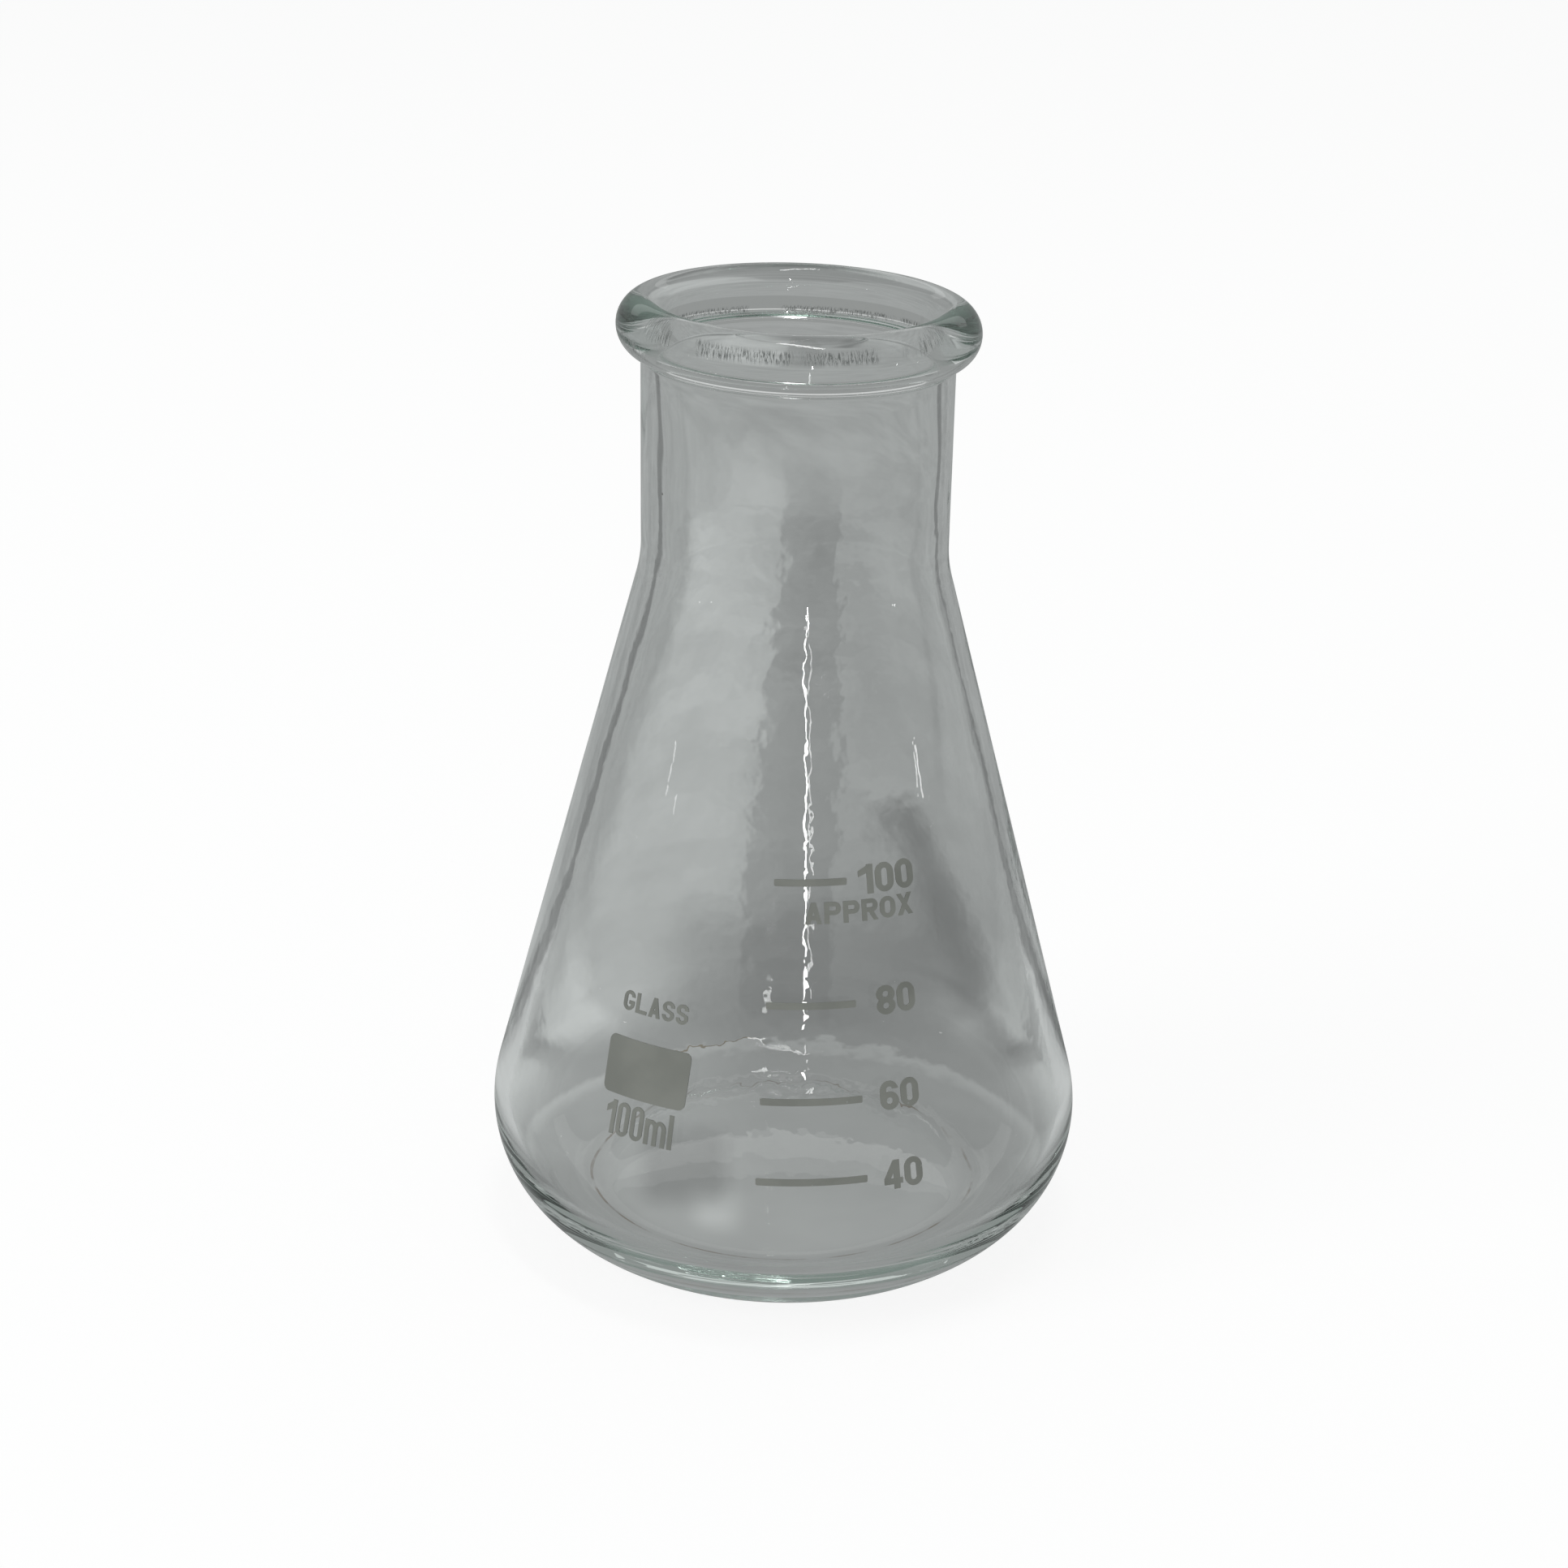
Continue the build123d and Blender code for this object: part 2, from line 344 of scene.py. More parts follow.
class Specks(EffectGroup):
    """Mask of small scattered dots."""

    name = "specks"

    def sockets(self) -> tuple[Inputs, Outputs]:
        """Give the group's sockets."""
        return {"Point": "vector", "Scale": 200.0, "Size": 0.1, "Share": 0.1}, {"Mask": "Float"}

    def fill(self, sheet: NodeSheet, given: dict[str, Socket]) -> dict[str, Socket]:
        """A share of the cells of a Voronoi pattern has a dot of Size round its point.

        Args:
            sheet: the group's sheet.
            given: its input sockets.

        Returns:
            A socket for each output.
        """
        cells = sheet.add("TexVoronoi", vector=given["Point"], scale=given["Scale"])
        drawn = sheet.add("SeparateColor", color=cells.outputs["Color"])
        near = sheet.math("LESS_THAN", cells.outputs["Distance"], given["Size"])
        chosen = sheet.math("LESS_THAN", drawn.outputs[0], given["Share"])
        return {"Mask": sheet.product(near, chosen)}


class Scratches(EffectGroup):
    """Mask of fine broken scratch marks that run round the axis."""

    name = "scratches"
    lean = 0.6
    stroke_edge: Span = (0.48, 0.56)
    patch_edge: Span = (0.42, 0.50)
    patch_row = 7.3
    worn_turn, worn_half, worn_soft = 2.3, 0.22, 0.1

    def sockets(self) -> tuple[Inputs, Outputs]:
        """Give the group's sockets."""
        return (
            {"Turn": 0.0, "Height": 0.0, "Around": 110.0, "Upwards": 1800.0},
            {"Mask": "Float"},
        )

    def fill(self, sheet: NodeSheet, given: dict[str, Socket]) -> dict[str, Socket]:
        """Short leaning strokes from a stretched noise, kept where a coarser noise is high
        and on one stretch that is worn most.

        Args:
            sheet: the group's sheet.
            given: its input sockets.

        Returns:
            A socket for each output.
        """
        along = sheet.product(given["Turn"], given["Around"])
        rising = sheet.product(given["Height"], given["Upwards"])
        leaned = sheet.math("MULTIPLY_ADD", rising, self.lean, along)
        place = sheet.add("CombineXYZ", x=leaned, y=rising).outputs[0]
        strokes = sheet.add("TexNoise", vector=place, scale=1.0, detail=3.0, roughness=0.7)
        mark = sheet.fade(strokes.outputs[0], *self.stroke_edge)
        row = sheet.add("CombineXYZ", x=given["Turn"], y=self.patch_row).outputs[0]
        patches = sheet.add("TexNoise", vector=row, scale=2.6, detail=2.0)
        worn = sheet.band(given["Turn"], self.worn_turn, self.worn_half, self.worn_soft)
        kept = sheet.math("MAXIMUM", sheet.fade(patches.outputs[0], *self.patch_edge), worn)
        return {"Mask": sheet.product(mark, kept)}


class PrintGrain(EffectGroup):
    """Uneven film of a fired print: cloudy shade, grain and pinholes."""

    name = "print_grain"

    def sockets(self) -> tuple[Inputs, Outputs]:
        """Give the group's sockets."""
        return (
            {"Point": "vector", "Cloud_scale": 260.0, "Grain_scale": 5200.0, "Pinhole_share": 0.05},
            {"Shade": "Float", "Pinhole": "Float", "Grain": "Float"},
        )

    def fill(self, sheet: NodeSheet, given: dict[str, Socket]) -> dict[str, Socket]:
        """Shade is a soft noise, Grain a fine one, and Pinhole a few tiny dots.

        Args:
            sheet: the group's sheet.
            given: its input sockets.

        Returns:
            A socket for each output.
        """
        cloud = sheet.add("TexNoise", vector=given["Point"], scale=given["Cloud_scale"], detail=3.0)
        grain = sheet.add("TexNoise", vector=given["Point"], scale=given["Grain_scale"], detail=2.0)
        holes = Specks().place(
            sheet, Point=given["Point"], Scale=1400.0, Size=0.12, Share=given["Pinhole_share"]
        )
        return {
            "Shade": sheet.fade(cloud.outputs[0], 0.3, 0.7),
            "Pinhole": holes.outputs["Mask"],
            "Grain": grain.outputs[0],
        }


# ---------------------------------------------------------------- finishes


def new_material(name: str) -> tuple[bpy.types.Material, NodeSheet]:
    """Start a material with nothing in it but its output.

    Args:
        name: the material's name.

    Returns:
        The material and the sheet for its nodes.
    """
    material = bpy.data.materials.new(name)
    material.use_nodes = True
    material.node_tree.nodes.clear()
    return material, NodeSheet(material.node_tree)


@dataclass(frozen=True)
class BlownGlass:
    """Clear laboratory glass, with the dirt and wear of a flask that has been used."""

    ior: float = 1.473
    clear: Colour = (0.994, 0.997, 0.995)
    body_tint: Colour = (0.45, 0.68, 0.58)
    body_density: float = 5.0
    land_stain: Colour = (0.30, 0.22, 0.15)
    land_radius: float = 22.1 * MM
    land_edge: Span = (0.12 * MM, 0.16 * MM)
    land_depth: Span = (0.2 * MM, 0.5 * MM)
    scuff: Colour = (0.16, 0.17, 0.165)
    scuff_height: float = 98.85 * MM
    scuff_edge: Span = (0.15 * MM, 0.35 * MM)
    scuff_tilt: float = -0.7 * MM
    scuff_roughness: float = 0.5
    tide: Colour = (0.34, 0.26, 0.16)
    tide_height: float = 5.4 * MM
    tide_edge: Span = (0.03 * MM, 0.06 * MM)
    tide_turn: float = 1.83
    tide_reach: Span = (0.16, 0.12)
    tide_wall: Span = (18 * MM, 20 * MM)
    speck: Colour = (0.12, 0.11, 0.10)
    speck_scale: float = 140.0
    speck_size: float = 0.022
    speck_share: float = 0.06
    wave_height: float = 0.08 * MM
    wave_scale: float = 260.0
    wave_start: Span = (12 * MM, 24 * MM)
    wave_end: Span = (78 * MM, 90 * MM)
    wave_front: Span = (-0.96, -0.82)
    wave_elsewhere: float = 0.3

    def material(self, name: str) -> bpy.types.Material:
        """Build the material.

        The colour is clear glass, darkened by a brown stain on the ring it stands on, by
        a thin tide line low on the inside, by scuffs in a ring inside the mouth and by a
        few specks. The scuffs are also rough. Faint ripples are strongest at the front.

        Args:
            name: the material's name.

        Returns:
            The material.
        """
        material, sheet = new_material(name)
        point = sheet.add("TexCoord").outputs["Object"]
        place = RoundTheAxis().place(sheet, Point=point)
        turn, radius, height = place.outputs

        low = sheet.fade(height, *self.land_depth, 1.0, 0.0)
        ring = sheet.band(radius, self.land_radius, *self.land_edge)
        patchy = sheet.add("TexNoise", vector=point, scale=220.0, detail=4.0)
        stain = sheet.product(low, ring, sheet.fade(patchy.outputs[0], 0.38, 0.62))

        level = sheet.add("Attribute", {"attribute_name": LEVEL}).outputs["Fac"]
        inside = sheet.add("Attribute", {"attribute_name": INSIDE}).outputs["Fac"]
        scratched = Scratches().place(sheet, Turn=turn, Height=level).outputs["Mask"]
        forwards = sheet.math("SINE", turn)
        lifted = sheet.math("MULTIPLY_ADD", forwards, -self.scuff_tilt, level)
        belt = sheet.band(lifted, self.scuff_height, *self.scuff_edge)
        scuffed = sheet.product(inside, belt, scratched)

        drained = sheet.band(level, self.tide_height, *self.tide_edge)
        behind = sheet.band(turn, self.tide_turn, *self.tide_reach)
        low_wall = sheet.product(inside, sheet.fade(radius, *self.tide_wall))
        dried = sheet.product(drained, behind, low_wall)

        dots = Specks().place(
            sheet, Point=point, Scale=self.speck_scale, Size=self.speck_size, Share=self.speck_share
        )

        colour = sheet.blend(stain, self.clear, self.land_stain)
        colour = sheet.blend(dried, colour, self.tide)
        colour = sheet.blend(scuffed, colour, self.scuff)
        colour = sheet.blend(dots.outputs["Mask"], colour, self.speck)

        waves = sheet.add("TexNoise", vector=point, scale=self.wave_scale, detail=2.5).outputs[0]
        below = sheet.fade(level, *self.wave_end, 1.0, 0.0)
        above = sheet.fade(level, *self.wave_start)
        front = sheet.fade(forwards, *self.wave_front, 1.0, self.wave_elsewhere)
        sided = sheet.product(front, sheet.math("MULTIPLY_ADD", inside, -2.0, 1.0))
        rippled = sheet.product(waves, sheet.product(below, above, sided))
        bump = sheet.add("Bump", strength=1.0, distance=self.wave_height, height=rippled)
        shader = sheet.add(
            "BsdfPrincipled",
            base_color=colour,
            roughness=sheet.product(scuffed, self.scuff_roughness),
            ior=self.ior,
            transmission_weight=1.0,
            normal=bump.outputs[0],
        )
        body = sheet.add("VolumeAbsorption", color=self.body_tint, density=self.body_density)
        sheet.add("OutputMaterial", surface=shader.outputs[0], volume=body.outputs[0])
        return material


@dataclass(frozen=True)
class FiredEnamel:
    """Ceramic ink, screened and fired onto the glass. Its greys are painted shade: darker than
    white enamel, as the prints look in shade.
    """

    # light and dark are painted shade: both greys stand in for white enamel seen in shade
    light: Colour = (0.40, 0.41, 0.375)
    dark: Colour = (0.33, 0.34, 0.31)
    pinhole: Colour = (0.50, 0.52, 0.50)
    roughness: tuple[float, float] = (0.42, 0.62)
    grain_height: float = 0.012 * MM
    cloud_scale: float = 260.0
    pinhole_share: float = 0.05

    def material(self, name: str) -> bpy.types.Material:
        """Build the material: cloudy between two greys, with a fine grain and pinholes.

        Args:
            name: the material's name.

        Returns:
            The material.
        """
        material, sheet = new_material(name)
        point = sheet.add("TexCoord").outputs["Object"]
        film = PrintGrain().place(
            sheet, Point=point, Cloud_scale=self.cloud_scale, Pinhole_share=self.pinhole_share
        )
        shade, pinhole, grain = film.outputs
        colour = sheet.blend(shade, self.dark, self.light)
        colour = sheet.blend(pinhole, colour, self.pinhole)
        low, high = self.roughness
        rough = sheet.math("MULTIPLY_ADD", shade, high - low, low)
        bump = sheet.add("Bump", strength=0.6, distance=self.grain_height, height=grain)
        shader = sheet.add(
            "BsdfPrincipled",
            base_color=colour,
            roughness=rough,
            ior=1.5,
            normal=bump.outputs[0],
        )
        sheet.add("OutputMaterial", surface=shader.outputs[0])
        return material


# ---------------------------------------------------------------- shapes


def ramp(value: np.ndarray, low: float, high: float) -> np.ndarray:
    """Straight rise from 0 at low to 1 at high: (value - low) / (high - low), held beyond them.

    Args:
        value: numbers that are read.
        low: where the rise begins.
        high: where it ends.

    Returns:
        The share for each value.
    """
    return np.clip((value - low) / (high - low), 0, 1)


def arc(center: Span, radius: float, start: float, sweep: float, steps: int) -> np.ndarray:
    """Points on an arc, without its last: centre plus radius times (cos, sin) of even angles.

    Args:
        center: radius and height of the arc's centre.
        radius: the arc's radius.
        start: first angle, in degrees.
        sweep: angle to the last point, in degrees.
        steps: number of steps.

    Returns:
        Rows of radius and height.
    """
    angles = np.radians(start + sweep * np.arange(steps) / steps)
    return np.array(center) + radius * np.column_stack([np.cos(angles), np.sin(angles)])


def run(first: Span, last: Span, steps: int) -> np.ndarray:
    """Points on a straight run, without its last: first plus an even share of the way to last.

    Args:
        first: radius and height of the first point.
        last: radius and height of the last point.
        steps: number of steps.

    Returns:
        Rows of radius and height.
    """
    share = np.arange(steps)[:, None] / steps
    return np.array(first) * (1 - share) + np.array(last) * share


def add_mesh(name: str, points: np.ndarray, faces: list[np.ndarray]) -> bpy.types.Object:
    """Make an object of a mesh with smooth faces.

    Args:
        name: the object's name.
        points: rows of x, y and z.
        faces: arrays of faces, each with one row of corner numbers for each face.

    Returns:
        The object, linked to the scene.
    """
    mesh = bpy.data.meshes.new(name)
    corners = np.concatenate([f.ravel() for f in faces]).astype(np.int32)
    sizes = np.concatenate([np.full(len(f), f.shape[1]) for f in faces])
    starts = np.concatenate([[0], np.cumsum(sizes)[:-1]]).astype(np.int32)
    mesh.vertices.add(len(points))
    mesh.vertices.foreach_set("co", points.astype(np.float32).ravel())
    mesh.loops.add(len(corners))
    mesh.loops.foreach_set("vertex_index", corners)
    mesh.polygons.add(len(sizes))
    mesh.polygons.foreach_set("loop_start", starts)
    mesh.update(calc_edges=True)
    mesh.validate()
    mesh.polygons.foreach_set("use_smooth", np.ones(len(mesh.polygons), bool))
    thing = bpy.data.objects.new(name, mesh)
    bpy.context.scene.collection.objects.link(thing)
    return thing


@dataclass(frozen=True)
class Waves:
    """Gentle waves over a surface of revolution, as a sum of cosines."""

    height: float
    rounds: tuple[int, int]
    lengths: Span
    count: int
    seed: int

    def over(self, turn: np.ndarray, along: np.ndarray) -> np.ndarray:
        """Sum of cosines of (whole number of rounds times turn plus waves along plus phase).

        Args:
            turn: angle round the axis, in radians.
            along: distance along the outline.

        Returns:
            Height of the waves at each point.
        """
        draw = np.random.default_rng(self.seed)
        rounds = draw.integers(self.rounds[0], self.rounds[1] + 1, self.count)
        lengths = draw.uniform(*self.lengths, self.count) * draw.choice([-1, 1], self.count)
        phases = draw.uniform(0, 2 * np.pi, self.count)
        sizes = draw.uniform(0.4, 1.0, self.count)
        total = np.zeros(np.broadcast(turn, along).shape)
        for n, length, phase, size in zip(rounds, lengths, phases, sizes):
            total += size * np.cos(n * turn + 2 * np.pi * along / length + phase)
        return self.height * total / np.sqrt(self.count)


@dataclass(frozen=True)
class OutsideSteps:
    """Number of rows along each part of the outer outline, from the underside up."""

    dome: int = 10
    land_rounding: int = 4
    land: int = 3
    foot: int = 8
    heel: int = 56
    cone: int = 44
    shoulder: int = 12
    neck: int = 12
    fillet: int = 8
    rim: int = 80


@dataclass(frozen=True)
class InsideSteps:
    """Number of rows along each part of the inner outline, from the rim down."""

    mouth: int = 30
    bore: int = 22
    shoulder: int = 14
    cone: int = 40
    rounding: int = 52
    dome: int = 10


@dataclass
class FlaskGlass:
    """The blown glass, as an outline carried round the axis.

    Sizes are in metres. The height is the frame's own.
    """

    height: float
    body_radius: float = 32.5 * MM
    neck_radius: float = 16.0 * MM
    neck_length: float = 19.1 * MM
    heel_radius: float = 14.2 * MM
    foot_radius: float = 5.0 * MM
    foot_inset: float = 9.8 * MM
    shoulder_radius: float = 14.0 * MM
    rim_projection: float = 2.5 * MM
    rim_radius: float = 2.9 * MM
    rim_fillet: float = 0.8 * MM
    wall: float = 2.0 * MM
    base_thickness: float = 3.2 * MM
    push_up: float = 2.3 * MM
    land_width: float = 1.2 * MM
    land_rounding: float = 4.0 * MM
    floor_radius: float = 10.0 * MM
    proud: float = 0.015 * MM
    bore_offset: float = 0.35 * MM
    rim_slope: tuple[float, float] = (-0.0159, 0.042)
    rim_drop: float = 0.35 * MM
    rim_facing: float = -5.6
    rim_reach: Span = (-12 * MM, 0.5 * MM)
    calm_radius: float = 6 * MM
    land_level: float = 0.3 * MM
    ripple_start: Span = (12 * MM, 22 * MM)
    bore_start: Span = (8 * MM, 58 * MM)
    around: int = 240
    outside_steps: OutsideSteps = OutsideSteps()
    inside_steps: InsideSteps = InsideSteps()
    inside_waves: Waves = Waves(0.020 * MM, (1, 6), (14 * MM, 42 * MM), 14, 7)
    outside_waves: Waves = Waves(0.004 * MM, (1, 6), (14 * MM, 60 * MM), 10, 3)
    ripples: Waves = Waves(0.005 * MM, (6, 30), (5 * MM, 14 * MM), 20, 5)

    def __post_init__(self) -> None:
        """Work out the centres of the roundings and the lean of the cone."""
        self.rim_center = np.array(
            [
                self.neck_radius + self.rim_projection - self.rim_radius,
                self.height - self.rim_radius,
            ]
        )
        fillet_x = self.neck_radius + self.rim_fillet
        reach = self.rim_radius + self.rim_fillet
        drop = np.sqrt(reach**2 - (fillet_x - self.rim_center[0]) ** 2)
        self.fillet_center = np.array([fillet_x, self.rim_center[1] - drop])
        self.shoulder_center = np.array(
            [self.neck_radius + self.shoulder_radius, self.fillet_center[1] - self.neck_length]
        )
        foot = np.array([self.body_radius - self.foot_inset, self.foot_radius])
        heel_x = self.body_radius - self.heel_radius
        rise = np.sqrt((self.heel_radius - self.foot_radius) ** 2 - (foot[0] - heel_x) ** 2)
        self.foot_center = foot
        self.heel_center = np.array([heel_x, foot[1] + rise])
        self.heel_touch = float(np.degrees(np.arctan2(-rise, foot[0] - heel_x)))
        across = self.shoulder_center - self.heel_center
        lean = np.arctan2(across[1], across[0]) - np.arccos(
            (self.heel_radius + self.shoulder_radius) / np.hypot(*across)
        )
        self.lean = float(np.degrees(lean))
        self.cone_normal = np.array([np.cos(lean), np.sin(lean)])
        offset = self.heel_center @ self.cone_normal + self.heel_radius
        floor_y = self.base_thickness + self.floor_radius
        floor_x = (
            offset - self.wall - self.floor_radius - floor_y * self.cone_normal[1]
        ) / self.cone_normal[0]
        self.floor_center = np.array([floor_x, floor_y])

    def dome(self, edge_center: np.ndarray, edge_radius: float) -> tuple[float, float]:
        """Size the dome that flows into the rounding round its edge.

        Args:
            edge_center: centre of the rounding.
            edge_radius: its radius.

        Returns:
            The dome's radius and its half angle in degrees.
        """
        drop = edge_radius - self.push_up
        radius = (edge_center[0] ** 2 + drop**2 - edge_radius**2) / (2 * self.push_up)
        return radius, float(np.degrees(np.arctan2(edge_center[0], radius + drop)))

    def outside(self) -> np.ndarray:
        """Outline from the middle of the underside, round the foot and up to the top of the rim.

        Returns:
            Rows of radius and height.
        """
        land = np.array([self.foot_center[0] - self.land_width, self.land_rounding])
        radius, half = self.dome(land, self.land_rounding)
        to_rim = self.rim_center - self.fillet_center
        touch = float(np.degrees(np.arctan2(to_rim[1], to_rim[0])))
        heel_end = self.heel_center + self.cone_normal * self.heel_radius
        shoulder_start = self.shoulder_center - self.cone_normal * self.shoulder_radius
        neck, steps = self.neck_radius, self.outside_steps
        lean, heel_turn = self.lean, self.lean - self.heel_touch
        return np.concatenate(
            [
                arc((0, self.push_up - radius), radius, 90, -half, steps.dome),
                arc(land, self.land_rounding, 270 - half, half, steps.land_rounding),
                run((land[0], 0), (self.foot_center[0], 0), steps.land),
                arc(self.foot_center, self.foot_radius, -90, 90 + self.heel_touch, steps.foot),
                arc(self.heel_center, self.heel_radius, self.heel_touch, heel_turn, steps.heel),
                run(heel_end, shoulder_start, steps.cone),
                arc(self.shoulder_center, self.shoulder_radius, 180 + lean, -lean, steps.shoulder),
                run((neck, self.shoulder_center[1]), (neck, self.fillet_center[1]), steps.neck),
                arc(self.fillet_center, self.rim_fillet, 180, touch - 180, steps.fillet),
                arc(self.rim_center, self.rim_radius, touch - 180, 270 - touch, steps.rim),
            ]
        )

    def inside(self) -> np.ndarray:
        """Outline from the top of the rim, down the bore and the cone, to the middle of the floor.

        Returns:
            Rows of radius and height.
        """
        bore = self.neck_radius - self.wall
        mouth = self.rim_center[0] - bore
        mouth_center = (self.rim_center[0], self.height - mouth)
        side = self.shoulder_radius + self.wall
        radius, half = self.dome(self.floor_center, self.floor_radius)
        floor_top = self.base_thickness + self.push_up
        cone_top = self.shoulder_center - self.cone_normal * side
        cone_foot = self.floor_center + self.cone_normal * self.floor_radius
        steps, sweep = self.inside_steps, -self.lean - 90 - half
        return np.concatenate(
            [
                arc(mouth_center, mouth, 90, 90, steps.mouth),
                run((bore, mouth_center[1]), (bore, self.shoulder_center[1]), steps.bore),
                arc(self.shoulder_center, side, 180, self.lean, steps.shoulder),
                run(cone_top, cone_foot, steps.cone),
                arc(self.floor_center, self.floor_radius, self.lean, sweep, steps.rounding),
                arc((0, floor_top - radius), radius, 90 - half, half, steps.dome),
                [[0.0, floor_top]],
            ]
        )

    def rim_share(self, height: np.ndarray) -> np.ndarray:
        """Smooth step from 0 on the neck to 1 in the rim: 3 s squared minus 2 s cubed of a ramp s.

        Args:
            height: heights of points.

        Returns:
            The share that each point has in what the rim does.
        """
        low, high = (self.fillet_center[1] + reach for reach in self.rim_reach)
        share = ramp(height, low, high)
        return share * share * (3 - 2 * share)

    def surface(self) -> tuple[np.ndarray, np.ndarray]:
        """Carry the outline round the axis, with the faults of blown glass.

        A point is (r cos t, r sin t, z). The outside stands proud along its normal by a
        hair, both sides are moved along it by their waves, the inside is moved sideways by
        the bore's offset, and the rim's heights get a slope across it.

        Returns:
            Points as an array of outline by angle by 3, and for each the height on the
            outline and 1 if it is inside.
        """
        outside, inside = self.outside(), self.inside()
        outline = np.concatenate([outside, inside])
        is_inside = (np.arange(len(outline)) >= len(outside))[:, None]
        step = np.gradient(outline, axis=0)
        normal = np.column_stack([step[:, 1], -step[:, 0]]) / np.hypot(*step.T)[:, None]
        along = np.concatenate([[0], np.cumsum(np.hypot(*np.diff(outline, axis=0).T))])[:, None]
        turn = (2 * np.pi * np.arange(self.around) / self.around)[None, :]
        radius, height = outline[:, :1], outline[:, 1:]

        calm = ramp(radius, 0.0, self.calm_radius) * (1 - self.rim_share(height))
        ripples = self.ripples.over(turn, height) * ramp(height, *self.ripple_start)
        waves = np.where(
            is_inside,
            self.inside_waves.over(turn, along) - ripples,
            self.outside_waves.over(turn, along) + ripples,
        )
        lands = (height < self.land_level) & ~is_inside
        lift = (np.where(is_inside, 0.0, self.proud) + waves * calm) * (1 - lands)
        radius = radius + normal[:, :1] * lift
        height = height + normal[:, 1:] * lift

        x, y = radius * np.cos(turn), radius * np.sin(turn)
        eccentric = is_inside * ramp(height, *self.bore_start)
        x = x + self.bore_offset * eccentric * (1 - self.rim_share(height))
        facing = np.radians(self.rim_facing)
        rightwards = x * np.cos(facing) + y * np.sin(facing)
        backwards = y * np.cos(facing) - x * np.sin(facing)
        tilt = self.rim_slope[0] * rightwards + self.rim_slope[1] * backwards
        height = height + (tilt - self.rim_drop) * self.rim_share(height)
        level = np.broadcast_to(outline[:, 1:], x.shape)
        side = np.broadcast_to(is_inside.astype(float), x.shape)
        return np.stack([x, y, height], axis=2), np.stack([level, side], axis=2)

    def build(self, name: str) -> bpy.types.Object:
        """Make the closed mesh: a grid of four-sided faces, and a fan round each pole.

        Args:
            name: the piece's name.

        Returns:
            The piece.
        """
        grid, marks = self.surface()
        rows, columns = grid.shape[0], self.around
        first_pole, last_pole = grid[0].mean(0), grid[-1].mean(0)
        points = np.concatenate([grid[1:-1].reshape(-1, 3), [first_pole, last_pole]])
        number = np.arange((rows - 2) * columns).reshape(rows - 2, columns)
        beside = np.roll(number, -1, axis=1)
        quads = np.stack([number[:-1], beside[:-1], beside[1:], number[1:]], axis=2).reshape(-1, 4)
        low, high = len(points) - 2, len(points) - 1
        bottom = np.column_stack([np.full(columns, low), beside[0], number[0]])
        top = np.column_stack([np.full(columns, high), number[-1], beside[-1]])
        glass = add_mesh(name, points, [quads, bottom, top])
        ends = np.array([marks[0, 0], marks[-1, 0]])
        values = np.concatenate([marks[1:-1].reshape(-1, 2), ends])
        for column, label in enumerate((LEVEL, INSIDE)):
            layer = glass.data.attributes.new(label, "FLOAT", "POINT")
            layer.data.foreach_set("value", values[:, column].astype(np.float32))
        return glass


# ---------------------------------------------------------------- sub-assemblies


@dataclass
class Glassware:
    """The flask's glass, in place of the frame's plain body."""

    node: str = "flask_body"
    piece: str = "blown_flask"
    finish: BlownGlass = field(default_factory=BlownGlass)

    def build(self) -> bpy.types.Object:
        """Build and dress the glass.

        Returns:
            The piece.
        """
        low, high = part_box(self.node)
        shape = FlaskGlass(height=high.z - low.z)
        glass = shape.build(self.piece)
        glass.data.materials.append(self.finish.material("blown_glass"))
        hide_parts(self.node)
        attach(glass, "root")
        return glass


class Print(Enum):
    """The kinds of print on the glass, by the start of their nodes' names."""

    LINE = "graduation_line"
    NUMERAL = "graduation_numeral"
    WORD = "lettering"
    PATCH = "marking_spot"


@dataclass
class FiredPrints:
    """All that is printed on the glass: the frame's nodes, with an enamel finish."""

    finishes: dict[Print, FiredEnamel] = field(
        default_factory=lambda: {
            Print.LINE: FiredEnamel(),
            Print.NUMERAL: FiredEnamel(pinhole_share=0.08),
            Print.WORD: FiredEnamel(pinhole_share=0.1, cloud_scale=320.0),
            Print.PATCH: FiredEnamel(cloud_scale=170.0, pinhole_share=0.03),
        }
    )

    def kind(self, node: str) -> Print:
        """Find the kind of print that a node is, by its name."""
        return next(kind for kind in Print if kind.value in node)

    def dress(self, nodes: dict[str, bpy.types.Object], skip: str) -> list[str]:
        """Give each print its finish.

        Args:
            nodes: the frame's nodes.
            skip: the node that is not a print.

        Returns:
            Names of the prints that were dressed.
        """
        materials = {
            kind: finish.material(f"fired_enamel_{kind.name.lower()}")
            for kind, finish in self.finishes.items()
        }
        names = sorted(name for name in nodes if name != skip)
        for name in names:
            material = materials[self.kind(name)]
            if not nodes[name].material_slots:
                nodes[name].data.materials.append(material)
            for place in nodes[name].material_slots:
                place.material = material
        return names


# ---------------------------------------------------------------- studio


